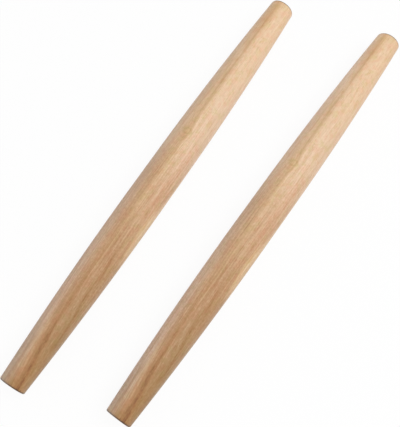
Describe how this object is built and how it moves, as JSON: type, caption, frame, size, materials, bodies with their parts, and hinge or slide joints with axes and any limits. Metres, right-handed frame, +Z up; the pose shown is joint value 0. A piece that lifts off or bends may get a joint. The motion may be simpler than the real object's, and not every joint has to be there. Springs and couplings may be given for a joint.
{
  "type": "french rolling pin",
  "caption": "Slender one-piece wooden rolling pins in the french style, with a short straight belly, long tapers, flat ends and no handles, lying side by side.",
  "frame": {"origin": "on the table, midway between the two pins", "axes": "+Y along the pins, towards the end that is further from the viewer, +X from the left pin to the right one, +Z up from the table"},
  "size_m": [0.1228, 0.426, 0.032],
  "materials": {
    "turned_wood": "satin, sanded smooth and oiled"
  },
  "bodies": {
    "left_pin": {"left_pin": "turned_wood"},
    "right_pin": {"right_pin": "turned_wood"}
  },
  "joints": [
    {"name": "right_pin_roll", "type": "hinge", "parent": "left_pin", "child": "right_pin", "pos_m": [0.04425, 0.01285, 0.016], "axis": [0.0218, 0.9998, 0], "continuous": true}
  ]
}
